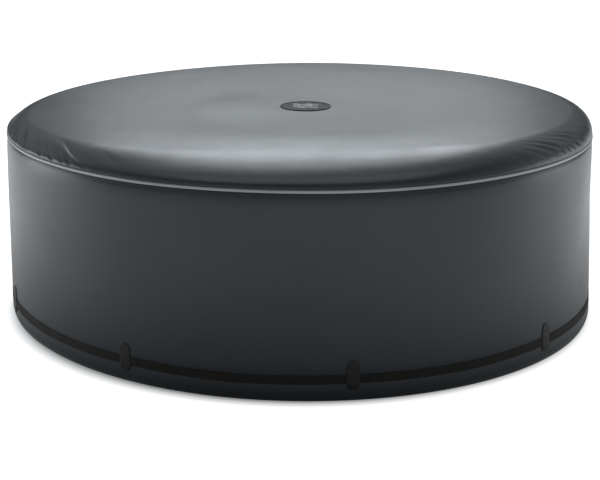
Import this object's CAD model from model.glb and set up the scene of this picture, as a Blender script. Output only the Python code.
import math

import bmesh
import bpy
import numpy as np
from mathutils import Matrix, Vector


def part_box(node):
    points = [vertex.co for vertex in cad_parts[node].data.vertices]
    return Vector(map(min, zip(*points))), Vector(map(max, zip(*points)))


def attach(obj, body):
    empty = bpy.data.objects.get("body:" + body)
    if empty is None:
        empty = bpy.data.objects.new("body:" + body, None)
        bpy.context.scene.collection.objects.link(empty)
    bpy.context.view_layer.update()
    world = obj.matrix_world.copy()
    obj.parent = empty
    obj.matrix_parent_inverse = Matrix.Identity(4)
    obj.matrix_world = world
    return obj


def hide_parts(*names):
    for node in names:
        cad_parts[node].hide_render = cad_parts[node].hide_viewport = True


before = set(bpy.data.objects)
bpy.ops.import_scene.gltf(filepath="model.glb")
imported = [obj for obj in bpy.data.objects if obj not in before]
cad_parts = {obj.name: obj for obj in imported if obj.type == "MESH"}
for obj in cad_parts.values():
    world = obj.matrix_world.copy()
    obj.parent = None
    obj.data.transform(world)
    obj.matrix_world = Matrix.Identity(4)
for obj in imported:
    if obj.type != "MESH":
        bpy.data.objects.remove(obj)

scene = bpy.context.scene
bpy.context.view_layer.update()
TAU = 2 * math.pi

# ---------------------------------------------------------------- sizes read from the frame


def low(node):
    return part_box(node)[0]


def high(node):
    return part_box(node)[1]


SKIRT_TOP_R = high("cover_skirt").x - 0.012
SKIRT_FLOOR_R = high("cover_skirt").x
SEAM_Z = (low("cover_piping").z + high("cover_piping").z) / 2
WELT_R = SKIRT_TOP_R - 0.007
HEM_Z = low("cover_skirt").z
LID_TOP = high("cover_top_panel").z
LID_MIDDLE = low("badge_plate").z - 0.0004
LID_CROWN_R = 0.94
LID_SHOULDER_Z = 0.643
LID_FLAT_R = 0.16
LID_SOFT_FRONT = 0.2  # how much further in the shoulder starts in front, where the pad is slack
LID_FRONT_FALL = 0.006  # and how far the lid slopes down to it
LID_STILL_R = 0.6  # inside this the lid's cloth lies smooth
LID_LEAN = (0.021, 0.004)  # how far the lid sags at the left, and stands up at the right
STRAP_Z = (low("hem_strap").z + high("hem_strap").z) / 2
STRAP_HALF = (high("hem_strap").z - low("hem_strap").z) / 2
LOOP_MIDDLE_Z = (low("strap_loops").z + high("strap_loops").z) / 2
LOOP_HALF_HEIGHT = (high("strap_loops").z - low("strap_loops").z) / 2
LOOP_HALF_WIDTH = 0.021
LOOPS = 9
LOOP_FIRST = 9.0
RIM_Z = high("tub_outer_wall").z
OUTER_R = high("tub_outer_wall").x
BAY_HALF = 0.2335


# ---------------------------------------------------------------- camera, floor and light

LENS, SENSOR = 80.52, 36  # millimetres
CAMERA_PLACE = (0.003, -4.656, 1.546)
CAMERA_DOWN, CAMERA_ROLL = 16.07, 0.33  # degrees
COOL = (0.93, 0.985, 1.03)  # colour of the studio light
MIX_FACTOR, MIX_A, MIX_B, MIX_OUT = 0, 6, 7, 2  # sockets of a Mix node that mixes colours


def placed(name, data):
    """A new object in the scene that holds this mesh, camera or lamp."""
    obj = bpy.data.objects.new(name, data)
    scene.collection.objects.link(obj)
    return obj


def camera():
    data = bpy.data.cameras.new("studio_camera")
    data.sensor_width = SENSOR
    data.lens = LENS
    cam = placed("studio_camera", data)
    tilt = Matrix.Rotation(math.radians(90 - CAMERA_DOWN), 4, "X")
    turn = tilt @ Matrix.Rotation(math.radians(CAMERA_ROLL), 4, "Z")
    cam.matrix_world = Matrix.Translation(CAMERA_PLACE) @ turn
    scene.camera = cam


def area_light(name, place, target, size, power):
    data = bpy.data.lights.new(name, "AREA")
    data.shape = "RECTANGLE"
    data.size, data.size_y = size
    data.energy = power
    data.color = COOL
    lamp = placed(name, data)
    lamp.location = place
    lamp.rotation_euler = (Vector(target) - Vector(place)).to_track_quat("-Z", "Y").to_euler()
    return lamp


def map_range(tree, source, from_low, from_high, to_low, to_high):
    """Carries a node's output from one range of values to another."""
    node = tree.nodes.new("ShaderNodeMapRange")
    ends = {"From Min": from_low, "From Max": from_high, "To Min": to_low, "To Max": to_high}
    for key, value in ends.items():
        node.inputs[key].default_value = value
    tree.links.new(source, node.inputs["Value"])
    return node.outputs["Result"]


def by_camera_ray(tree, unseen, seen, target):
    """Shows one shader to the camera and gives the other to every other ray."""
    mix = tree.nodes.new("ShaderNodeMixShader")
    light_path = tree.nodes.new("ShaderNodeLightPath")
    tree.links.new(light_path.outputs["Is Camera Ray"], mix.inputs[0])
    tree.links.new(unseen.outputs[0], mix.inputs[1])
    tree.links.new(seen.outputs[0], mix.inputs[2])
    tree.links.new(mix.outputs[0], target)


# Brightness of the dome by height (0 straight down, 0.5 the horizon, 1 overhead)
# and by depth (0 in front, 1 at the back).
DOME_HEIGHT = [
    (0.0, 0.5), (0.5, 0.04), (0.6, 0.1), (0.66, 0.5),
    (0.7, 0.6), (0.77, 0.4), (0.86, 0.2), (1.0, 0.1),
]
DOME_DEPTH = [(0.0, 0.6), (0.35, 0.8), (0.6, 1.0), (0.85, 1.0), (1.0, 1.0)]
FLOOR_NEAR, FLOOR_FAR = 0.1, 1.0
FLOOR_SEEN = 1.0
FLOOR_GLOW = 0.62
FLOOR_LIFT = (0.22, 0.9)  # close to the tub, and from a hand's width away
BACK_POWER = 60
LEFT_POWER, RIGHT_POWER = 24, 13
TOP_POWER = 32


def soft_world():
    """White to the camera; as light, a pale dome that is brightest behind and above the tub."""
    world = bpy.data.worlds.new("studio")
    world.use_nodes = True
    tree = world.node_tree
    out = tree.nodes["World Output"]
    seen = tree.nodes["Background"]
    seen.inputs["Color"].default_value = (1, 1, 1, 1)
    seen.inputs["Strength"].default_value = 1.0
    glow = tree.nodes.new("ShaderNodeBackground")
    glow.inputs["Strength"].default_value = 1.0
    coord = tree.nodes.new("ShaderNodeTexCoord")
    split = tree.nodes.new("ShaderNodeSeparateXYZ")
    tree.links.new(coord.outputs["Generated"], split.inputs[0])

    def ramp(source, stops, name):
        node = tree.nodes.new("ShaderNodeValToRGB")
        node.name = name
        node.color_ramp.interpolation = "B_SPLINE"
        elements = node.color_ramp.elements
        while len(elements) < len(stops):
            elements.new(0.5)
        for e, (at, value) in zip(elements, stops):
            e.position = at
            e.color = (value, value, value, 1)
        tree.links.new(source, node.inputs["Fac"])
        return node.outputs["Color"]

    def shifted(source):
        return map_range(tree, source, -1, 1, 0, 1)

    def times(x, y):
        node = tree.nodes.new("ShaderNodeMath")
        node.operation = "MULTIPLY"
        tree.links.new(x, node.inputs[0])
        tree.links.new(y, node.inputs[1])
        return node.outputs[0]

    height = ramp(shifted(split.outputs["Z"]), DOME_HEIGHT, "height")
    depth = ramp(shifted(split.outputs["Y"]), DOME_DEPTH, "depth")
    cool = tree.nodes.new("ShaderNodeMix")
    cool.data_type = "RGBA"
    cool.blend_type = "MULTIPLY"
    cool.inputs[MIX_FACTOR].default_value = 1.0
    cool.inputs[MIX_B].default_value = (*COOL, 1)
    tree.links.new(times(height, depth), cool.inputs[MIX_A])
    tree.links.new(cool.outputs[MIX_OUT], glow.inputs["Color"])
    by_camera_ray(tree, glow, seen, out.inputs["Surface"])
    scene.world = world


def studio():
    scene.view_settings.view_transform = "Standard"
    soft_world()
    mesh = bpy.data.meshes.new("studio_floor")
    bm = bmesh.new()
    bmesh.ops.create_grid(bm, x_segments=8, y_segments=8, size=40)
    bm.to_mesh(mesh)
    bm.free()
    floor = placed("studio_floor", mesh)
    floor.location.z = -0.0005
    mat = bpy.data.materials.new("studio_floor")
    mat.use_nodes = True
    tree = mat.node_tree
    tree.nodes.remove(tree.nodes["Principled BSDF"])
    seen = tree.nodes.new("ShaderNodeBsdfDiffuse")
    seen.inputs["Color"].default_value = (FLOOR_SEEN,) * 3 + (1,)
    lift = tree.nodes.new("ShaderNodeEmission")
    both = tree.nodes.new("ShaderNodeAddShader")
    tree.links.new(seen.outputs[0], both.inputs[0])
    tree.links.new(lift.outputs[0], both.inputs[1])
    bounced = tree.nodes.new("ShaderNodeBsdfDiffuse")
    place = tree.nodes.new("ShaderNodeTexCoord")
    reach = tree.nodes.new("ShaderNodeVectorMath")
    reach.operation = "LENGTH"
    tree.links.new(place.outputs["Object"], reach.inputs[0])

    wide = tree.nodes.new("ShaderNodeVectorMath")
    wide.operation = "MULTIPLY"
    wide.inputs[1].default_value = (1.45, 1, 1)
    tree.links.new(place.outputs["Object"], wide.inputs[0])
    wide_reach = tree.nodes.new("ShaderNodeVectorMath")
    wide_reach.operation = "LENGTH"
    tree.links.new(wide.outputs[0], wide_reach.inputs[0])

    shade = map_range(tree, wide_reach.outputs["Value"], 1.05, 2.7, FLOOR_NEAR, FLOOR_FAR)
    lifted = map_range(tree, reach.outputs["Value"], 1.0, 1.05, *FLOOR_LIFT)
    tree.links.new(lifted, lift.inputs["Strength"])
    tree.links.new(shade, bounced.inputs["Color"])
    glow = tree.nodes.new("ShaderNodeEmission")
    glow.inputs["Strength"].default_value = FLOOR_GLOW
    tree.links.new(shade, glow.inputs["Color"])
    unseen = tree.nodes.new("ShaderNodeAddShader")
    tree.links.new(bounced.outputs[0], unseen.inputs[0])
    tree.links.new(glow.outputs[0], unseen.inputs[1])
    by_camera_ray(tree, unseen, both, tree.nodes["Material Output"].inputs["Surface"])
    mesh.materials.append(mat)
    for lamp in (
        area_light("back_softbox", (0, 5.6, 3.2), (0, -0.8, 0.7), (3.4, 0.9), BACK_POWER),
        area_light("left_softbox", (-4.2, 0.5, 0.8), (0, 0, 0.4), (2.2, 1.4), LEFT_POWER),
        area_light("right_softbox", (4.2, 0.5, 0.8), (0, 0, 0.4), (2.2, 1.4), RIGHT_POWER),
        area_light("overhead", (0, 0.4, 4.6), (0, 0.2, 0), (4.0, 3.0), TOP_POWER),
    ):
        lamp.visible_camera = False


# ---------------------------------------------------------------- materials


class Recipe:
    """A new material with its shader, and short calls for the nodes that feed it."""

    def __init__(self, name, colour, roughness, metallic=0.0, specular=0.5):
        self.mat = bpy.data.materials.new(name)
        self.mat.use_nodes = True
        self.tree = self.mat.node_tree
        self.bsdf = self.tree.nodes["Principled BSDF"]
        self.colour = colour
        self.roughness = roughness
        self.bsdf.inputs["Metallic"].default_value = metallic
        self.bsdf.inputs["Specular IOR Level"].default_value = specular
        self.bsdf.inputs["Base Color"].default_value = (*colour, 1)
        self.bsdf.inputs["Roughness"].default_value = roughness
        self.coord = self.tree.nodes.new("ShaderNodeTexCoord")
        self.height = None

    def node(self, kind, **values):
        n = self.tree.nodes.new(kind)
        for key, value in values.items():
            if key in n.inputs:
                n.inputs[key].default_value = value
            else:
                setattr(n, key, value)
        return n

    def link(self, a, b):
        self.tree.links.new(a, b)

    def mapped(self, scale, space="Object"):
        mapping = self.node("ShaderNodeMapping")
        mapping.inputs["Scale"].default_value = scale
        self.link(self.coord.outputs[space], mapping.inputs["Vector"])
        return mapping.outputs["Vector"]

    def noise(self, scale, detail=3.0, stretch=(1, 1, 1), distortion=0.0):
        n = self.node("ShaderNodeTexNoise", Scale=scale, Detail=detail, Distortion=distortion)
        self.link(self.mapped(stretch), n.inputs["Vector"])
        return n.outputs["Fac"]

    def spread(self, source, low_value, high_value, from_low=0.3, from_high=0.7):
        return map_range(self.tree, source, from_low, from_high, low_value, high_value)

    def tint(self, source, dark, light):
        """Colour runs between two multiples of the base colour."""
        mix = self.node("ShaderNodeMix", data_type="RGBA")
        for socket, share in ((MIX_A, dark), (MIX_B, light)):
            mix.inputs[socket].default_value = (*[min(1, c * share) for c in self.colour], 1)
        self.link(source, mix.inputs["Factor"])
        self.link(mix.outputs[MIX_OUT], self.bsdf.inputs["Base Color"])

    def rough(self, source, swing):
        self.link(
            self.spread(source, self.roughness - swing, self.roughness + swing),
            self.bsdf.inputs["Roughness"],
        )

    def bump(self, source, distance, strength=1.0):
        b = self.node("ShaderNodeBump", Strength=strength, Distance=distance)
        self.link(source, b.inputs["Height"])
        if self.height is not None:
            self.link(self.height, b.inputs["Normal"])
        self.height = b.outputs["Normal"]
        self.link(self.height, self.bsdf.inputs["Normal"])


def coated_cloth(name, colour, roughness, grain=0.00012):
    """Leather-grained vinyl coating: pebbled cells, soft blotches and worn, shinier patches."""
    r = Recipe(name, colour, roughness)
    blotch = r.noise(2.3, 4)
    r.tint(r.spread(blotch, 0, 1, 0.2, 0.8), 0.84, 1.18)
    r.rough(r.noise(6, 3), 0.025)
    cells = r.node("ShaderNodeTexVoronoi", Scale=420.0)
    cells.feature = "DISTANCE_TO_EDGE"
    r.link(r.mapped((1, 1, 1)), cells.inputs["Vector"])
    r.bump(r.spread(cells.outputs["Distance"], 0, 1, 0.0, 0.25), grain, 0.4)
    r.bump(r.noise(14, 2), 0.0009, 0.25)
    return r.mat


def woven(name, colour, pitch=0.0022):
    """Webbing: ribs along the strap crossed by picks, both in metres of its UV map."""
    r = Recipe(name, colour, 0.72, specular=0.35)
    ribs = r.node("ShaderNodeTexWave", Scale=1 / pitch / 6.2, Distortion=0.6)
    ribs.bands_direction = "Y"
    r.link(r.mapped((1, 1, 1), "UV"), ribs.inputs["Vector"])
    picks = r.node("ShaderNodeTexWave", Scale=1 / pitch / 9.3, Distortion=0.8)
    picks.bands_direction = "X"
    r.link(r.mapped((1, 1, 1), "UV"), picks.inputs["Vector"])
    both = r.node("ShaderNodeMath", operation="MULTIPLY")
    r.link(ribs.outputs["Fac"], both.inputs[0])
    r.link(picks.outputs["Fac"], both.inputs[1])
    r.tint(r.spread(both.outputs[0], 0, 1, 0, 0.8), 0.7, 1.35)
    r.rough(r.noise(30), 0.06)
    r.bump(both.outputs[0], 0.0006, 0.8)
    return r.mat


def plain_weave(name, colour, pitch=0.0012):
    """Fine textile in object space, for linings and filter fleece."""
    r = Recipe(name, colour, 0.85, specular=0.25)
    r.tint(r.spread(r.noise(9, 4), 0, 1), 0.85, 1.15)
    weave = r.node("ShaderNodeTexVoronoi", Scale=1 / pitch)
    r.link(r.mapped((1, 1, 1)), weave.inputs["Vector"])
    r.rough(r.noise(40), 0.05)
    r.bump(weave.outputs["Distance"], 0.0003, 0.6)
    return r.mat


def moulded(name, colour, roughness, texture=900.0, depth=0.00006):
    """Moulded plastic with a fine spark-eroded texture and slight handling marks."""
    r = Recipe(name, colour, roughness)
    r.tint(r.spread(r.noise(11, 4), 0, 1), 0.92, 1.08)
    r.rough(r.noise(34, 5, distortion=0.5), 0.06)
    r.bump(r.noise(texture, 2), depth, 0.5)
    return r.mat


def vinyl(name, colour, roughness, printed=0.0):
    """Smooth welded PVC of the inflated parts, with the faint print of its scrim."""
    r = Recipe(name, colour, roughness)
    r.tint(r.spread(r.noise(3.1, 5), 0, 1), 0.9 - printed, 1.08 + printed)
    r.rough(r.noise(12, 4), 0.05)
    scrim = r.node("ShaderNodeTexVoronoi", Scale=300.0)
    r.link(r.mapped((1, 1, 1)), scrim.inputs["Vector"])
    r.bump(scrim.outputs["Distance"], 0.00012, 0.35)
    r.bump(r.noise(18, 3), 0.0009, 0.25)
    return r.mat


def brushed(name, colour, roughness):
    r = Recipe(name, colour, roughness, metallic=1.0)
    streak = r.noise(140, 3, stretch=(0.15, 1, 1))
    r.tint(r.spread(streak, 0, 1), 0.85, 1.1)
    r.rough(streak, 0.08)
    r.bump(streak, 0.00004, 0.4)
    return r.mat


def board(name):
    r = Recipe(name, (0.01, 0.09, 0.035), 0.4)
    tracks = r.node("ShaderNodeTexBrick", Scale=90.0)
    r.link(r.mapped((1, 1, 1)), tracks.inputs["Vector"])
    r.tint(tracks.outputs["Fac"], 1.5, 0.8)
    r.rough(r.noise(60), 0.08)
    r.bump(tracks.outputs["Fac"], 0.00005, 0.5)
    return r.mat


def smoked_glass(name):
    r = Recipe(name, (0.006, 0.009, 0.011), 0.07)
    r.bsdf.inputs["Coat Weight"].default_value = 0.4
    r.tint(r.spread(r.noise(20), 0, 1), 0.8, 1.3)
    r.bump(r.noise(300, 2), 0.00001, 0.2)
    return r.mat


CLOTH = coated_cloth("cover_vinyl_cloth", (0.027, 0.035, 0.042), 0.31)
TRIM = coated_cloth("cover_loop_cloth", (0.010, 0.0105, 0.011), 0.46, 0.0001)
WELT = coated_cloth("cover_welt_cloth", (0.4, 0.42, 0.435), 0.34, 0.00008)
WEBBING = woven("belt_webbing", (0.017, 0.0142, 0.0118))
TAPE = woven("hem_tape_weave", (0.012, 0.012, 0.012), 0.0018)
LINING = plain_weave("lid_lining", (0.02, 0.021, 0.023))
TUB_OUT = vinyl("tub_outer_vinyl", (0.045, 0.05, 0.055), 0.42)
TUB_IN = vinyl("tub_inner_vinyl", (0.38, 0.42, 0.43), 0.38, 0.03)
PAD = vinyl("pool_floor_vinyl", (0.34, 0.38, 0.39), 0.45, 0.04)
FILM = vinyl("bladder_film", (0.3, 0.32, 0.33), 0.35)
BEAM = vinyl("beam_scrim", (0.5, 0.5, 0.49), 0.6)
BASE = vinyl("base_vinyl", (0.03, 0.032, 0.035), 0.6)
VALVE = moulded("valve_plastic", (0.33, 0.35, 0.36), 0.42)
PORT = moulded("port_plastic", (0.27, 0.29, 0.30), 0.38)
CASING = moulded("casing_plastic", (0.085, 0.09, 0.095), 0.48)
BEZEL = moulded("bezel_plastic", (0.012, 0.013, 0.014), 0.2, 1400, 0.00002)
KEY = moulded("key_plastic", (0.45, 0.47, 0.48), 0.45)
BUCKLE = moulded("buckle_plastic", (0.011, 0.011, 0.012), 0.4)
BADGE = moulded("badge_vinyl", (0.02, 0.022, 0.024), 0.6)
BADGE.node_tree.nodes["Principled BSDF"].inputs["Specular IOR Level"].default_value = 0.25
MARK = moulded("badge_mark", (0.72, 0.73, 0.71), 0.45)
PUMP = moulded("pump_plastic", (0.05, 0.05, 0.055), 0.5)
ROTOR = moulded("rotor_plastic", (0.4, 0.4, 0.4), 0.45)
PIPE = moulded("pipe_plastic", (0.22, 0.23, 0.24), 0.4)
GLAND = moulded("gland_rubber", (0.012, 0.012, 0.012), 0.8)
STEEL = brushed("brushed_steel", (0.62, 0.62, 0.62), 0.32)
PAPER = plain_weave("filter_fleece", (0.78, 0.78, 0.75), 0.0018)

SCREEN = smoked_glass("display_glass")
CIRCUIT = board("circuit_board")

# The material of each CAD piece. The buttons have none here and get KEY.
NODE_MATERIALS = {
    node: material
    for material, nodes in (
        (CLOTH, "cover_top_panel cover_skirt"),
        (WELT, "cover_piping"),
        (LINING, "lid_liner"),
        (FILM, "bladder_top_sheet bladder_bottom_sheet"),
        (VALVE, "bladder_valve_body bladder_valve_cap drain_fitting drain_cap_outer"),
        (VALVE, "drain_cap_inner inflation_valve_body inflation_valve_core"),
        (VALVE, "inflation_valve_cap"),
        (BADGE, "badge_plate"),
        (MARK, "badge_waves"),
        (TAPE, "cover_hem_tape"),
        (WEBBING, "hem_strap"),
        (TRIM, "strap_loops"),
        (BUCKLE, "buckle_socket buckle_plug buckle_prong_upper buckle_prong_lower"),
        (TUB_OUT, "tub_outer_wall rim_weld_beads"),
        (TUB_IN, "tub_inner_wall tub_top_band bubble_channel"),
        (BASE, "tub_base_sheet"),
        (PAD, "pool_floor"),
        (BEAM, "unit_bay_liner wall_tension_beams"),
        (PORT, "air_jets filter_housing filter_cap outlet_socket outlet_nozzle"),
        (CASING, "unit_outer_casing unit_pool_casing unit_deck"),
        (STEEL, "casing_screws heater_tube heater_element"),
        (BEZEL, "control_bezel"),
        (SCREEN, "display_window"),
        (CIRCUIT, "control_board"),
        (PAPER, "filter_cartridge"),
        (PUMP, "pump_casing blower_casing"),
        (ROTOR, "pump_rotor blower_rotor"),
        (PIPE, "internal_pipes"),
        (GLAND, "power_cord_gland"),
    )
    for node in nodes.split()
}

for node_name, node_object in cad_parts.items():
    mat = NODE_MATERIALS.get(node_name, KEY)
    node_object.data.materials.clear()
    node_object.data.materials.append(mat)


# ---------------------------------------------------------------- mesh helpers


def smooth(mesh):
    mesh.polygons.foreach_set("use_smooth", [True] * len(mesh.polygons))


def grid_object(name, points, mat, closed_u, closed_v=False, uv=None):
    """Mesh from a (rows, columns, 3) array. Rows run around (u), columns along the profile (v)."""
    rows, cols = points.shape[:2]
    mesh = bpy.data.meshes.new(name)
    faces = []
    for i in range(rows if closed_u else rows - 1):
        a, b = i * cols, (i + 1) % rows * cols
        for j in range(cols if closed_v else cols - 1):
            k = (j + 1) % cols
            faces.append((a + j, b + j, b + k, a + k))
    mesh.from_pydata(points.reshape(-1, 3).tolist(), [], faces)
    if uv is not None:
        layer = mesh.uv_layers.new(name="UVMap")
        flat = uv.reshape(-1, 2)
        index = np.zeros(len(mesh.loops), int)
        mesh.loops.foreach_get("vertex_index", index)
        layer.data.foreach_set("uv", flat[index].astype(np.float32).ravel())
    smooth(mesh)
    mesh.update()
    mesh.materials.append(mat)
    return placed(name, mesh)


UP = np.array([0, 0, 1])


def profile_normals(profile):
    """Unit normals of a profile, on the left of the way it runs."""
    tangent = np.gradient(profile, axis=0)
    normal = np.stack([-tangent[:, 1], tangent[:, 0]], 1)
    normal /= np.linalg.norm(normal, axis=1)[:, None]
    return normal


def revolve_points(profile, azimuths):
    """profile: (n, 2) of radius and height; azimuths in radians from the front towards +X."""
    profile = np.asarray(profile, float)
    r, z = profile[:, 0], profile[:, 1]
    s, c = np.sin(azimuths)[:, None], -np.cos(azimuths)[:, None]
    return np.stack([s * r, c * r, np.broadcast_to(z, (len(azimuths), len(z)))], -1)


def bumps(azimuth, seed, terms, lowest=1):
    """Smooth random wave around the ring, from -1 to 1, the same each run."""
    rng = np.random.default_rng(seed)
    total = np.zeros_like(azimuth)
    weight = 0
    for k in range(lowest, lowest + terms):
        a = rng.normal() / math.sqrt(k - lowest + 1)
        total += a * np.sin(k * azimuth + rng.uniform(0, TAU))
        weight += abs(a)
    return total / weight


def arc(centre, radii, start, end, count):
    a = np.radians(np.linspace(start, end, count))
    return np.stack([centre[0] + radii[0] * np.cos(a), centre[1] + radii[1] * np.sin(a)], 1)


def line(a, b, count):
    t = np.linspace(0, 1, count)[:, None]
    return np.array(a) * (1 - t) + np.array(b) * t


def path(*pieces):
    """Joins profile pieces, dropping repeated points."""
    out = [pieces[0]]
    for p in pieces[1:]:
        out.append(p[1:] if np.allclose(p[0], out[-1][-1], atol=1e-5) else p)
    return np.concatenate(out)


def outward(a):
    return np.stack([np.sin(a), -np.cos(a), np.zeros_like(a)], -1)


def azimuths(count):
    return np.arange(count) / count * TAU


def wrap_distance(a, centre):
    return np.abs((a - centre + math.pi) % TAU - math.pi)


# ---------------------------------------------------------------- cover: lid


def seam_wave(a):
    """How far the seam wanders up or down, in metres."""
    return 0.0016 * bumps(a, 11, 9, 2)


def lid_profile(a):
    """Outside of the lid's cloth at each azimuth, from its seam over the shoulder to the middle."""
    side_r = SKIRT_TOP_R - 0.001
    rise = LID_TOP - LID_SHOULDER_Z + 0.0005
    front = np.exp(-((wrap_distance(a, 0) / 0.75) ** 2))[:, None]
    crown_r = LID_CROWN_R - LID_SOFT_FRONT * front
    turn = np.linspace(0, math.pi / 2, 24)[None]
    flat = np.linspace(0, 1, 30)[None, 1:]
    still = np.linspace(LID_STILL_R, 0.02, 24)[None, 1:] + 0 * crown_r
    r = np.concatenate([crown_r + (LID_STILL_R - crown_r) * flat, still], 1)
    t = np.clip((crown_r - r) / (crown_r - LID_FLAT_R), 0, 1)
    top_z = LID_SHOULDER_Z + rise
    seam = np.array([
        (WELT_R - 0.001, SEAM_Z + 0.001),
        (WELT_R + 0.003, SEAM_Z + 0.004),
        (side_r - 0.0005, LID_SHOULDER_Z - 0.001),
    ])
    parts = [
        np.broadcast_to(seam, (len(a), 3, 2)),
        np.stack(np.broadcast_arrays(crown_r + (side_r - crown_r) * np.cos(turn) ** 1.03,
                                     LID_SHOULDER_Z + rise * np.sin(turn) ** 1.03), -1),
        np.stack([r, top_z + (LID_MIDDLE + 0.0006 - top_z) * (t * t * (3 - 2 * t))], -1),
    ]
    points = np.concatenate(parts, 1)
    fall = np.clip((points[..., 0] - 0.55) / 0.35, 0, 1)
    fall = fall * np.clip((points[..., 1] - LID_SHOULDER_Z) / rise, 0, 1)
    points[..., 1] -= LID_FRONT_FALL * front * fall * fall * (3 - 2 * fall)
    return points


def lean(a, r, z):
    """What the lid's lean adds to the height at a place in the lid."""
    up = np.clip((z - SEAM_Z - 0.004) / 0.05, 0, 1) * np.clip((r - 0.12) / 0.3, 0, 1)
    left, right = LID_LEAN
    fold = (np.sqrt(np.sin(a) ** 2 + 0.05) - 0.05 ** 0.5) / (1.05 ** 0.5 - 0.05 ** 0.5)
    return up * up * (3 - 2 * up) * r * ((left + right) * np.sin(a) - (left - right) * fold) / 2


def looseness(a):
    """Where the lid's cloth has slack in it: most at the two sides, least in front."""
    left = np.exp(-((wrap_distance(a, math.radians(-56)) / 0.26) ** 2))
    right = np.exp(-((wrap_distance(a, math.radians(61)) / 0.22) ** 2))
    back = np.exp(-((wrap_distance(a, math.radians(170)) / 0.9) ** 2))
    return np.clip(0.03 + 0.95 * left + 0.8 * right + 0.2 * back, 0, 1)


def inflate(points, slack, pressure=4.0, frames=20):
    """Where a ring of cloth that is held at both edges settles in the cloth simulation."""
    rows, cols = points.shape[:2]
    rng = np.random.default_rng(23)
    start = points + rng.normal(0, 0.0002, points.shape)
    obj = grid_object("sim_ring", start, CLOTH, True)
    held = obj.vertex_groups.new(name="held")
    edge = [i * cols + j for i in range(rows) for j in (0, 1, cols - 2, cols - 1)]
    held.add(edge, 1.0, "REPLACE")
    loose = obj.vertex_groups.new(name="loose")
    for i in range(rows):
        loose.add(list(range(i * cols, (i + 1) * cols)), float(slack[i]), "REPLACE")
    cloth = obj.modifiers.new("cloth", "CLOTH")
    cloth.settings.quality = 4
    cloth.settings.mass = 0.3
    cloth.settings.tension_stiffness = 12
    cloth.settings.compression_stiffness = 12
    cloth.settings.shear_stiffness = 6
    cloth.settings.bending_stiffness = 2.5
    cloth.settings.vertex_group_mass = "held"
    cloth.settings.vertex_group_shrink = "loose"
    cloth.settings.shrink_min = -0.002
    cloth.settings.shrink_max = -0.03
    cloth.settings.use_pressure = True
    cloth.settings.uniform_pressure_force = pressure
    cloth.settings.effector_weights.gravity = 0
    cloth.collision_settings.use_collision = False
    cloth.collision_settings.use_self_collision = False
    cloth.point_cache.frame_start = 1
    cloth.point_cache.frame_end = frames
    for f in range(1, frames + 1):
        scene.frame_set(f)
    done = obj.evaluated_get(bpy.context.evaluated_depsgraph_get()).to_mesh()
    flat = np.zeros(rows * cols * 3, np.float32)
    done.vertices.foreach_get("co", flat)
    settled = flat.reshape(rows, cols, 3).astype(float)
    mesh = obj.data
    bpy.data.objects.remove(obj)
    bpy.data.meshes.remove(mesh)
    scene.frame_set(1)
    return settled


SLEW = 0.9  # radians that the creases lean around the lid, per metre in from the seam


def crumple(points, a, cap=0.009):
    """What the simulation adds to the lid: its wrinkles, without the swelling of the whole ring."""
    move = inflate(points, looseness(a)) - points
    # Seen in the ring's own directions, so that the pattern can be slewed around the axis.
    out = outward(a)
    along = np.stack([-out[:, 1], out[:, 0], out[:, 2]], 1)
    parts = [(move * way[:, None]).sum(2) for way in (out, along)]
    local = np.stack([*parts, move[:, :, 2]], 2)
    waves = np.fft.rfft(local, axis=0)
    waves[:5] = 0
    reach = np.cumsum(np.r_[0, np.linalg.norm(np.diff(points[0], axis=0), axis=1)])
    slew = SLEW * reach[None, :, None] * np.arange(len(waves))[:, None, None]
    local = np.fft.irfft(waves * np.exp(1j * slew), n=len(a), axis=0)
    uneven = 0.75 + 0.5 * bumps(a, 9, 24, 6)
    fade = np.clip((0.24 - reach) / 0.14, 0, 1)
    local *= (looseness(a) * np.clip(uneven, 0.2, 1.5))[:, None, None] * fade[None, :, None]
    size = np.linalg.norm(local, axis=2, keepdims=True) + 1e-9
    local *= cap * np.tanh(size / cap) / size
    return out[:, None] * local[..., :1] + along[:, None] * local[..., 1:2] + UP * local[..., 2:]


def refined(points):
    """One subdivision of a closed ring of cloth: a smooth new point between each two, both ways."""
    ahead, behind, far = np.roll(points, -1, 0), np.roll(points, 1, 0), np.roll(points, -2, 0)
    around = np.empty((2 * len(points), *points.shape[1:]))
    around[0::2] = points
    around[1::2] = (9 * (points + ahead) - behind - far) / 16
    inner = np.concatenate([around[:, :1], around, around[:, -1:]], 1)
    across = np.empty((len(around), 2 * points.shape[1] - 1, 3))
    across[:, 0::2] = around
    across[:, 1::2] = (9 * (around[:, :-1] + around[:, 1:]) - inner[:, :-3] - inner[:, 3:]) / 16
    return across


def make_lid():
    count = 480
    a = azimuths(count)
    profile = lid_profile(a)
    r, z = profile[..., 0], profile[..., 1]
    pts = outward(a)[:, None] * r[..., None] + UP * z[..., None]
    still = int(np.argmax(r[0] <= LID_STILL_R + 1e-6)) + 1
    pts[:, :still] += crumple(pts[:, :still], a)
    near_seam = np.clip((r - 0.86) / 0.12, 0, 1)
    pts[:, :, 2] += seam_wave(a)[:, None] * near_seam
    pts[:, :, 2] += lean(a[:, None], r, z)
    pts = refined(pts)
    rows, cols = pts.shape[:2]
    lid = grid_object("lid_cloth", pts, CLOTH, True)
    bm = bmesh.new()
    bm.from_mesh(lid.data)
    bm.verts.ensure_lookup_table()
    middle = bm.faces.new([bm.verts[i * cols + cols - 1] for i in range(rows)])
    for f in bmesh.ops.poke(bm, faces=[middle])["faces"]:
        f.smooth = True
    bmesh.ops.recalc_face_normals(bm, faces=bm.faces)
    bm.to_mesh(lid.data)
    bm.free()
    return lid


lid = make_lid()
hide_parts("cover_top_panel")
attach(lid, "cover")


# ---------------------------------------------------------------- cover: skirt


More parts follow.
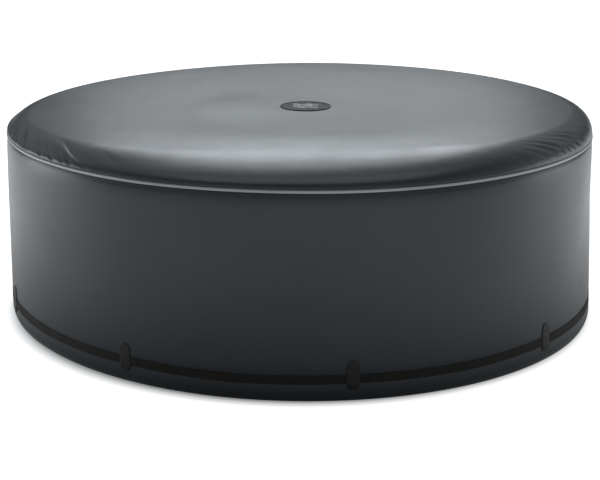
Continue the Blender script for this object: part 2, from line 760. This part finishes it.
def skirt_r(z):
    """Outside of the CAD skirt between its hem round and the piping."""
    share = (z - 0.03) / (SEAM_Z - 0.03)
    return SKIRT_FLOOR_R + (SKIRT_TOP_R - SKIRT_FLOOR_R) * share


def skirt_sway(a, z):
    """How far the hanging cloth stands off its plain shape. a and z broadcast."""
    middle = np.sin(np.clip((z - HEM_Z) / (SEAM_Z - HEM_Z), 0, 1) * math.pi) ** 0.7
    slow = 0.0024 * bumps(a, 3, 14, 3) * middle
    quick = 0.0012 * bumps(a, 5, 30, 10) * middle * (z / SEAM_Z) ** 2
    cinch = -0.0016 * np.exp(-(((z - STRAP_Z) / 0.02) ** 4))
    return slow + quick + cinch + skirt_drift(a) * np.clip(1 - z / 0.42, 0, 1) ** 0.8


def skirt_drift(a):
    """How far the skirt's foot is pulled in (front left) or stands out (front right), in metres."""
    at = np.radians([-180, -110, -90, -72, -54, -30, -12, 0, 30, 58, 76, 92, 118, 145, 180])
    off = np.array([0, 0, 0, -4, -13, -10, -3, 0, 8, 14, 14, 9, 2, 0, 0]) / 1000
    a = (np.asarray(a) + math.pi) % TAU - math.pi
    near = [np.interp(a + step, at, off) for step in np.radians([-8, -4, 0, 4, 8])]
    return sum(near) / len(near)


def skirt_profile():
    """Outside of the skirt, from its seam down to the hem."""
    bow = [
        (WELT_R - 0.002, SEAM_Z - 0.002),
        (WELT_R + 0.0035, SEAM_Z - 0.008),
        (SKIRT_TOP_R - 0.0005, SEAM_Z - 0.022),
        (SKIRT_TOP_R + 0.0012, SEAM_Z - 0.05),
    ]
    wall = line((SKIRT_TOP_R + 0.0014, SEAM_Z - 0.06), (SKIRT_FLOOR_R, 0.032), 64)
    foot = arc((SKIRT_FLOOR_R - 0.014, 0.032), (0.014, 0.028), 0, -88, 8)
    return path(np.array(bow), wall, foot)


def make_skirt():
    count = 720
    a = azimuths(count)
    profile = skirt_profile()
    thickness = 0.003
    inner = profile - profile_normals(profile) * thickness
    loop = np.concatenate([profile, inner[::-1]])
    pts = revolve_points(loop, a)
    z = loop[None, :, 1]
    lift = seam_wave(a)[:, None] * np.clip((z - 0.5) / 0.13, 0, 1)
    pts += outward(a)[:, None] * skirt_sway(a[:, None], z)[..., None]
    pts[:, :, 2] += lift
    length = np.cumsum(np.r_[0, np.hypot(*np.diff(loop, axis=0).T)])
    uv = np.stack(np.broadcast_arrays(a[:, None] * SKIRT_TOP_R, length[None]), -1)
    return grid_object("skirt_cloth", pts, CLOTH, True, closed_v=True, uv=uv)


skirt = make_skirt()
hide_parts("cover_skirt")
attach(skirt, "cover")


def ring_tube(name, centre_r, centre_z, radius, mat, count=720, sides=12, wave=None):
    a = azimuths(count)
    theta = np.arange(sides) / sides * TAU
    r = centre_r + radius * np.cos(theta)
    z = centre_z + radius * np.sin(theta)
    pts = revolve_points(np.stack([r, z], 1), a)
    if wave is not None:
        pts[:, :, 2] += wave(a)[:, None]
    uv = np.stack(np.broadcast_arrays(a[:, None] * centre_r, (theta * radius)[None]), -1)
    return grid_object(name, pts, mat, True, closed_v=True, uv=uv)


welt_radius = (high("cover_piping").z - SEAM_Z) * 1.05
welt = ring_tube("seam_welt", WELT_R + 0.0025, SEAM_Z, welt_radius, WELT, wave=seam_wave)
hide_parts("cover_piping")
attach(welt, "cover")


# ---------------------------------------------------------------- cover: belt, loops and stitching


def on_skirt(a, z, proud):
    """Points at azimuth a (radians) and height z that stand proud of the skirt's outside."""
    a, z, proud = np.broadcast_arrays(*[np.asarray(v, float) for v in (a, z, proud)])
    r = skirt_r(z) + skirt_sway(a, z) + proud
    return np.stack([np.sin(a) * r, -np.cos(a) * r, z], -1)


def loop_middles():
    """Azimuth of the middle of each belt loop."""
    return [math.radians(LOOP_FIRST + 360 / LOOPS * i) for i in range(LOOPS)]


BUCKLE_AZIMUTH = 149
BUCKLE_AFTER, BUCKLE_BEFORE = 1.62, 0.87  # degrees that the belt leaves free for the buckle


def make_belt():
    start = math.radians(BUCKLE_AZIMUTH + BUCKLE_AFTER)
    a = start + np.linspace(0, 1, 900) * (TAU - math.radians(BUCKLE_AFTER + BUCKLE_BEFORE))
    half, thick = STRAP_HALF, 0.0018
    edge = arc((0, 0), (thick / 2, thick / 2), -90, 90, 5)
    section = [(half - thick / 2 + e[0], thick / 2 + e[1]) for e in edge]
    section += [(x, thick) for x in np.linspace(half * 0.8, -half * 0.8, 9)]
    section += [(-(half - thick / 2) - e[0], thick / 2 + e[1]) for e in edge[::-1]]
    section += [(x, 0.0) for x in np.linspace(-half * 0.8, half * 0.8, 5)]
    section = np.array(section)
    near = np.min([wrap_distance(a, middle) for middle in loop_middles()], axis=0)
    droop = -0.0016 * np.clip(near / math.radians(20), 0, 1) ** 2
    z = STRAP_Z + section[None, :, 0] + droop[:, None] * np.ones(len(section))[None]
    pts = on_skirt(a[:, None], z, section[None, :, 1] + 0.0003)
    uv = np.stack(np.broadcast_arrays(a[:, None] * SKIRT_FLOOR_R, section[None, :, 0]), -1)
    return grid_object("belt_webbing", pts, WEBBING, False, closed_v=True, uv=uv)


belt = make_belt()
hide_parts("hem_strap")
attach(belt, "cover")


def fill_holes(obj):
    bm = bmesh.new()
    bm.from_mesh(obj.data)
    bmesh.ops.holes_fill(bm, edges=[e for e in bm.edges if e.is_boundary], sides=0)
    bmesh.ops.recalc_face_normals(bm, faces=bm.faces)
    bm.to_mesh(obj.data)
    bm.free()
    smooth(obj.data)
    return obj


fill_holes(belt)


def loop_half_width(z):
    """Half width of a belt loop at height z: straight sides and round ends."""
    reach = LOOP_HALF_HEIGHT - LOOP_HALF_WIDTH
    over = np.clip(np.abs(z - LOOP_MIDDLE_Z) - reach, 0, LOOP_HALF_WIDTH)
    return np.sqrt(np.maximum(LOOP_HALF_WIDTH**2 - over**2, 0))


def loop_proud(z):
    """Height of a loop's face above the skirt: sewn flat at both ends, arched over the belt."""
    t = np.clip((STRAP_HALF + 0.012 - np.abs(z - STRAP_Z)) / 0.012, 0, 1)
    return 0.0022 + 0.0024 * t * t * (3 - 2 * t)


def make_loops():
    turn = np.linspace(-1, 1, 47)
    z = LOOP_MIDDLE_Z + LOOP_HALF_HEIGHT * np.sin(turn * math.pi / 2) * 0.9995
    width = loop_half_width(z)
    across = np.sin(np.linspace(-1, 1, 15) * math.pi / 2)
    points, faces = [], []
    for middle in loop_middles():
        x = across[None] * width[:, None]
        round_edge = np.sqrt(np.clip(1 - np.abs(across[None]) ** 6, 0, 1))
        tip = np.sqrt(np.clip(1 - np.abs(turn[:, None]) ** 8, 0, 1))
        proud = 0.0003 + loop_proud(z)[:, None] * round_edge * tip
        front = on_skirt(middle + x / SKIRT_FLOOR_R, z[:, None], proud)
        back = on_skirt(middle + x[:, ::-1] / SKIRT_FLOOR_R, z[:, None], np.full_like(x, 0.0001))
        ring = np.concatenate([front, back[:, 1:-1]], 1)
        rows, cols = ring.shape[:2]
        base = len(points)
        points += ring.reshape(-1, 3).tolist()
        for j in range(rows - 1):
            for k in range(cols):
                n = (k + 1) % cols
                near, far = base + j * cols, base + (j + 1) * cols
                faces.append((near + k, near + n, far + n, far + k))
    mesh = bpy.data.meshes.new("belt_loops")
    mesh.from_pydata(points, [], faces)
    mesh.materials.append(TRIM)
    obj = placed("belt_loops", mesh)
    return fill_holes(obj)


loops = make_loops()
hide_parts("strap_loops")
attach(loops, "cover")


def thread_run(verts, faces, points, normals, length=0.0034, pitch=0.0052, thick=0.00035):
    """Adds stitches along a line of points: each a flattened six-sided grain lying on the cloth."""
    seg = np.linalg.norm(np.diff(points, axis=0), axis=1)
    run = np.r_[0, np.cumsum(seg)]
    for s in np.arange(pitch / 2, run[-1] - pitch / 3, pitch):
        at = [np.interp(s, run, points[:, k]) for k in range(3)]
        n = np.array([np.interp(s, run, normals[:, k]) for k in range(3)])
        ahead = [np.interp(min(s + 0.001, run[-1]), run, points[:, k]) for k in range(3)]
        t = np.array(ahead) - at
        t /= np.linalg.norm(t)
        n = n / np.linalg.norm(n)
        b = np.cross(t, n)
        base = len(verts)
        verts.append(tuple(at - t * length / 2 - n * thick))
        for f, w in ((-0.3, 1.0), (0.3, 1.0)):
            for k in range(6):
                c, d = math.cos(k * TAU / 6), math.sin(k * TAU / 6)
                side = (b * c + n * (d + 0.5)) * thick * w
                verts.append(tuple(np.array(at) + t * length * f + side))
        verts.append(tuple(at + t * length / 2 - n * thick))
        for k in range(6):
            m = (k + 1) % 6
            faces.append((base, base + 1 + m, base + 1 + k))
            faces.append((base + 1 + k, base + 1 + m, base + 7 + m, base + 7 + k))
            faces.append((base + 13, base + 7 + k, base + 7 + m))


def stitching(name, runs, mat, **kw):
    verts, faces = [], []
    for points, normals in runs:
        thread_run(verts, faces, points, normals, **kw)
    mesh = bpy.data.meshes.new(name)
    mesh.from_pydata(verts, [], faces)
    mesh.materials.append(mat)
    smooth(mesh)
    return placed(name, mesh)


def loop_runs():
    """A box of stitches at each end of every loop, above and below the belt."""
    runs = []
    for middle in loop_middles():
        for side in (-1, 1):
            inner = STRAP_Z + side * (STRAP_HALF + 0.004)
            outer = LOOP_MIDDLE_Z + side * (LOOP_HALF_HEIGHT - 0.004)
            zs = np.linspace(inner, outer, 16)
            w = loop_half_width(zs) - 0.0045
            w = np.maximum(w, 0.003)
            x = np.r_[-w, w[::-1], -w[:1]]
            z = np.r_[zs, zs[::-1], zs[:1]]
            a = middle + x / SKIRT_FLOOR_R
            runs.append((on_skirt(a, z, loop_proud(z) + 0.0003), outward(a)))
    return runs


loop_thread = stitching("loop_stitching", loop_runs(), WEBBING)
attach(loop_thread, "cover")


def ring_run(z, proud, count=2000):
    a = np.linspace(0, TAU, count)
    return on_skirt(a, np.full(count, z), np.full(count, proud)), outward(a)


HEM_STITCH_Z = 0.0305
hem_run = ring_run(HEM_STITCH_Z, 0.0)
hem_thread = stitching("hem_stitching", [hem_run], WEBBING, length=0.0042, pitch=0.0062)
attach(hem_thread, "cover")


# ---------------------------------------------------------------- cover: underside of the lid


def apply_modifiers(obj):
    """Bakes the object's modifiers into its mesh."""
    graph = bpy.context.evaluated_depsgraph_get()
    done = bpy.data.meshes.new_from_object(obj.evaluated_get(graph))
    obj.modifiers.clear()
    old, obj.data = obj.data, done
    bpy.data.meshes.remove(old)
    smooth(obj.data)


def drill(obj, places, direction, radius, length):
    """Cuts round holes through an object, with a throwaway cutter."""
    bm = bmesh.new()
    turn = Vector(direction).to_track_quat("Z", "Y").to_matrix().to_4x4()
    for at in places:
        bmesh.ops.create_cone(
            bm, cap_ends=True, segments=64, radius1=radius, radius2=radius,
            depth=length, matrix=Matrix.Translation(at) @ turn,
        )
    mesh = bpy.data.meshes.new("cutter")
    bm.to_mesh(mesh)
    bm.free()
    cutter = placed("cutter", mesh)
    cut = obj.modifiers.new("holes", "BOOLEAN")
    cut.operation = "DIFFERENCE"
    cut.object = cutter
    apply_modifiers(obj)
    bpy.data.objects.remove(cutter)
    bpy.data.meshes.remove(mesh)
    return obj


def joined(name, *objects):
    """One object from several, keeping each one's material."""
    mesh = bpy.data.meshes.new(name)
    verts, faces, slots, mats = [], [], [], []
    for obj in objects:
        base = len(verts)
        verts += [tuple(v.co) for v in obj.data.vertices]
        faces += [tuple(base + i for i in p.vertices) for p in obj.data.polygons]
        slots += [len(mats) + p.material_index for p in obj.data.polygons]
        mats += list(obj.data.materials)
        old = obj.data
        bpy.data.objects.remove(obj)
        bpy.data.meshes.remove(old)
    mesh.from_pydata(verts, [], faces)
    for m in mats:
        mesh.materials.append(m)
    mesh.polygons.foreach_set("material_index", slots)
    smooth(mesh)
    return placed(name, mesh)


VALVE_PLACE = (low("bladder_valve_cap") + high("bladder_valve_cap")) / 2


def make_lining():
    """Textile underside of the lid, slightly slack, gathered where it is sewn to the seam."""
    count, rings = 360, 64
    a = azimuths(count)
    edge = WELT_R - 0.001
    r = np.r_[0.004, np.linspace(0.02, 0.985, rings), edge]
    top_z = high("lid_liner").z
    r2, a2 = np.meshgrid(r, a)
    sag = -0.0018 * (1 - (r2 / edge) ** 2)
    pucker = 0.0009 * np.sin(a2 * 40 + 2 * np.sin(a2 * 5)) * np.clip((r2 - 0.92) / 0.06, 0, 1)
    drop = (top_z - SEAM_Z - 0.0016) * np.clip((r2 - 0.985) / (edge - 0.985), 0, 1)
    z = top_z + sag + pucker * (r2 < edge) - drop
    top = np.stack([np.sin(a2) * r2, -np.cos(a2) * r2, z], -1)
    under = top[:, ::-1] - np.array([0, 0, 0.0012])
    lining = grid_object("lid_lining", np.concatenate([top, under], 1), LINING, True, closed_v=True)
    fill_holes(lining)
    return drill(lining, [(VALVE_PLACE.x, VALVE_PLACE.y, top_z)], (0, 0, 1), 0.0232, 0.04)


lining = make_lining()
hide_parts("lid_liner")
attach(lining, "cover")


PAD_Z = high("bladder_bottom_sheet").z  # the weld between the pad's two sheets
PAD_HALF = high("bladder_top_sheet").z - PAD_Z
PAD_EDGE = high("bladder_top_sheet").x
PAD_SPOTS = ((0.27, 6), (0.52, 12), (0.77, 18))  # weld spots that hold the two sheets together


def bladder_sheet(name, side):
    """One sheet of the lid's air pad, puffed up between its welds at the rim and in spots."""
    weld = PAD_EDGE - 0.012
    a = azimuths(360)
    r = np.r_[
        0.004,
        np.linspace(0.02, 0.86, 60),
        np.linspace(0.87, weld, 14),
        np.linspace(weld + 0.004, PAD_EDGE, 3),
    ]
    r2, a2 = np.meshgrid(r, a)
    x, y = np.sin(a2) * r2, -np.cos(a2) * r2
    puff = np.sqrt(np.clip(1 - (np.clip(r2 - 0.84, 0, None) / (weld - 0.84)) ** 2, 0, 1))
    puff *= 1 - 0.1 * np.abs(np.sin(a2 * 45)) * np.clip((r2 - 0.88) / 0.06, 0, 1)
    for ring, number in PAD_SPOTS:
        for turn in np.arange(number) / number * TAU:
            away = (x - ring * math.sin(turn)) ** 2 + (y + ring * math.cos(turn)) ** 2
            puff *= 1 - 0.72 * np.exp(-away / 0.032 ** 2)
    skins = []
    for inset in (0, 0.0008):
        z = PAD_Z + side * (0.001 - inset + (PAD_HALF - 0.001) * puff)
        z += lean(a2, r2, z)
        skins.append(np.stack([x, y, z], -1))
    both = np.concatenate([skins[0], skins[1][:, ::-1]], 1)
    return fill_holes(grid_object(name, both, FILM, True, closed_v=True))


def make_bladder():
    bottom = bladder_sheet("pad_bottom", -1)
    hole = (VALVE_PLACE.x, VALVE_PLACE.y, PAD_Z - PAD_HALF)
    drill(bottom, [hole], (0, 0, 1), 0.018, 0.02)
    return joined("bladder_pad", bladder_sheet("pad_top", 1), bottom)


bladder = make_bladder()
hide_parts("bladder_top_sheet", "bladder_bottom_sheet")
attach(bladder, "cover")


def make_hem_tape():
    """Binding tape sewn along the inside of the skirt's edge."""
    profile = arc((SKIRT_FLOOR_R - 0.014 - 0.0032, 0.032), (0.014, 0.028), -4, -86, 9)
    inner = profile + np.array([-0.0009, 0.0004])
    loop = np.concatenate([profile, inner[::-1]])
    a = azimuths(720)
    pts = revolve_points(loop, a)
    pts += outward(a)[:, None] * skirt_sway(a[:, None], loop[None, :, 1])[..., None]
    length = np.cumsum(np.r_[0, np.hypot(*np.diff(loop, axis=0).T)])
    uv = np.stack(np.broadcast_arrays(a[:, None] * SKIRT_FLOOR_R, length[None]), -1)
    return grid_object("hem_binding", pts, TAPE, True, closed_v=True, uv=uv)


hem_tape = make_hem_tape()
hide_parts("cover_hem_tape")
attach(hem_tape, "cover")


# ---------------------------------------------------------------- tub: inflated walls

BEAMS = 24
SKIN = 0.0014  # thickness of the welded skins
BEAM_LOW, BEAM_HIGH = low("wall_tension_beams").z, high("wall_tension_beams").z


def between_beams(a):
    """0 where a beam is welded to the wall, 1 halfway between two of them."""
    return np.abs(np.sin((a - math.pi / 2 - math.radians(7.5)) * BEAMS / 2)) ** 0.55


def beam_window(z):
    up = np.clip((z - BEAM_LOW + 0.03) / 0.06, 0, 1)
    down = np.clip((BEAM_HIGH + 0.03 - z) / 0.06, 0, 1)
    t = np.minimum(up, down)
    return t * t * (3 - 2 * t)


def wall_points(profile, inward, count, bay, depth=0.007):
    """A wall with its welded columns. inward is the direction a weld pulls the skin: -1 or 1."""
    profile = np.asarray(profile)
    r, z = profile[:, 0], profile[:, 1]
    span = math.pi - (np.arcsin(BAY_HALF / r) if bay else np.zeros_like(r))
    t = np.linspace(-1, 1, count)
    a = t[:, None] * span[None]
    pull = depth * (1 - between_beams(a)) * beam_window(z)[None]
    rr = r[None] + inward * pull
    return np.stack([np.sin(a) * rr, -np.cos(a) * rr, np.broadcast_to(z, rr.shape)], -1), a


def wall(name, profile, inward, mat, bay):
    """One stretch of wall skin. Without the bay it is a closed ring."""
    pts, a = wall_points(profile, inward, 960 if bay else 961, bay)
    normal = profile_normals(profile)
    step = outward(a) * normal[None, :, :1] + UP * normal[None, :, 1:]
    back = pts - step * SKIN
    both = np.concatenate([pts, back[:, ::-1]], 1)
    if not bay:
        both = both[:-1]
    obj = grid_object(name, both, mat, not bay, closed_v=True)
    return fill_holes(obj)


BAY_FLOOR = 0.098
outer_upper = path(
    arc((0.930, RIM_Z - 0.06), (0.06, 0.06), 90, 0, 12),
    line((OUTER_R, RIM_Z - 0.06), (OUTER_R, BAY_FLOOR), 44),
)
outer_lower = path(
    line((OUTER_R, BAY_FLOOR), (OUTER_R, 0.042), 6),
    arc((OUTER_R - 0.04, 0.042), (0.04, 0.04), 0, -90, 9),
)
outer_wall = joined(
    "outer_wall_skin",
    wall("outer_wall_upper", outer_upper, -1, TUB_OUT, True),
    wall("outer_wall_lower", outer_lower, -1, TUB_OUT, False),
)
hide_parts("tub_outer_wall")
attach(outer_wall, "tub")

INNER_R = 0.79
inner_upper = path(
    line((INNER_R, BAY_FLOOR), (INNER_R, RIM_Z - 0.06), 44),
    arc((0.850, RIM_Z - 0.06), (0.06, 0.06), 180, 90, 12),
)
inner_lower = line((INNER_R, low("tub_inner_wall").z), (INNER_R, BAY_FLOOR), 8)
inner_wall = joined(
    "inner_wall_skin",
    wall("inner_wall_upper", inner_upper, 1, TUB_IN, True),
    wall("inner_wall_lower", inner_lower, 1, TUB_IN, False),
)
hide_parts("tub_inner_wall")
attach(inner_wall, "tub")


# ---------------------------------------------------------------- tub: floor and bubble ring


def disc(name, radius, rings, count, height, bottom, mat):
    """A round sheet or pad from a height function of x, y and radius."""
    a = azimuths(count)
    r = np.r_[0.003, np.linspace(0.02, radius, rings)]
    r2, a2 = np.meshgrid(r, a)
    x, y = np.sin(a2) * r2, -np.cos(a2) * r2
    z = height(x, y, r2)
    top = np.stack([x, y, z], -1)
    under = np.stack([x, y, np.minimum(z - 0.0005, bottom)], -1)[:, ::-1]
    return fill_holes(grid_object(name, np.concatenate([top, under], 1), mat, True, closed_v=True))


def quilt(x, y, r):
    """Top of the padded floor: shallow honeycomb pillows, pressed flat at the rim."""
    pitch = 0.085
    u, v = x / pitch, y / pitch
    pillow = sum(np.cos(TAU * (u * math.cos(k) + v * math.sin(k))) for k in (0, TAU / 6, TAU / 3))
    pillow = np.clip((pillow + 1.5) / 4.5, 0, 1) ** 0.5
    rim = np.clip((high("pool_floor").x - 0.004 - r) / 0.02, 0, 1)
    return FLOOR_LOW + 0.003 + (FLOOR_HIGH - FLOOR_LOW - 0.003) * pillow * rim


FLOOR_LOW, FLOOR_HIGH = low("pool_floor").z, high("pool_floor").z
floor_pad = disc("floor_pad", high("pool_floor").x, 90, 420, quilt, FLOOR_LOW, PAD)
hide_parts("pool_floor")
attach(floor_pad, "tub")


def base_height(x, y, r):
    return np.full_like(r, high("tub_base_sheet").z)


base_sheet = disc("base_sheet", high("tub_base_sheet").x, 24, 240, base_height, 0.0, BASE)
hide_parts("tub_base_sheet")
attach(base_sheet, "tub")


def make_channel():
    """Quarter-round air channel at the foot of the wall, drawn in a little at each jet."""
    count = 48 * 16
    a = azimuths(count)
    centre = (high("bubble_channel").x, low("bubble_channel").z)
    reach = high("bubble_channel").z - low("bubble_channel").z
    theta = np.radians(np.linspace(90, 180, 13))
    jets = np.abs(np.sin((a - math.pi / 2) * 24)) ** 0.7
    ring = []
    for inset in (0, SKIN):
        pinch = 0.0025 * (1 - jets)[:, None] * np.sin(2 * (theta - math.pi / 2))[None]
        size = reach - inset - pinch
        r = centre[0] + size * np.cos(theta)[None]
        z = centre[1] + size * np.sin(theta)[None]
        ring.append(np.stack([np.sin(a)[:, None] * r, -np.cos(a)[:, None] * r, z], -1))
    pts = np.concatenate([ring[0], ring[1][:, ::-1]], 1)
    return grid_object("channel_skin", pts, TUB_IN, True, closed_v=True)


channel = make_channel()
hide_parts("bubble_channel")
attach(channel, "tub")

camera()
studio()
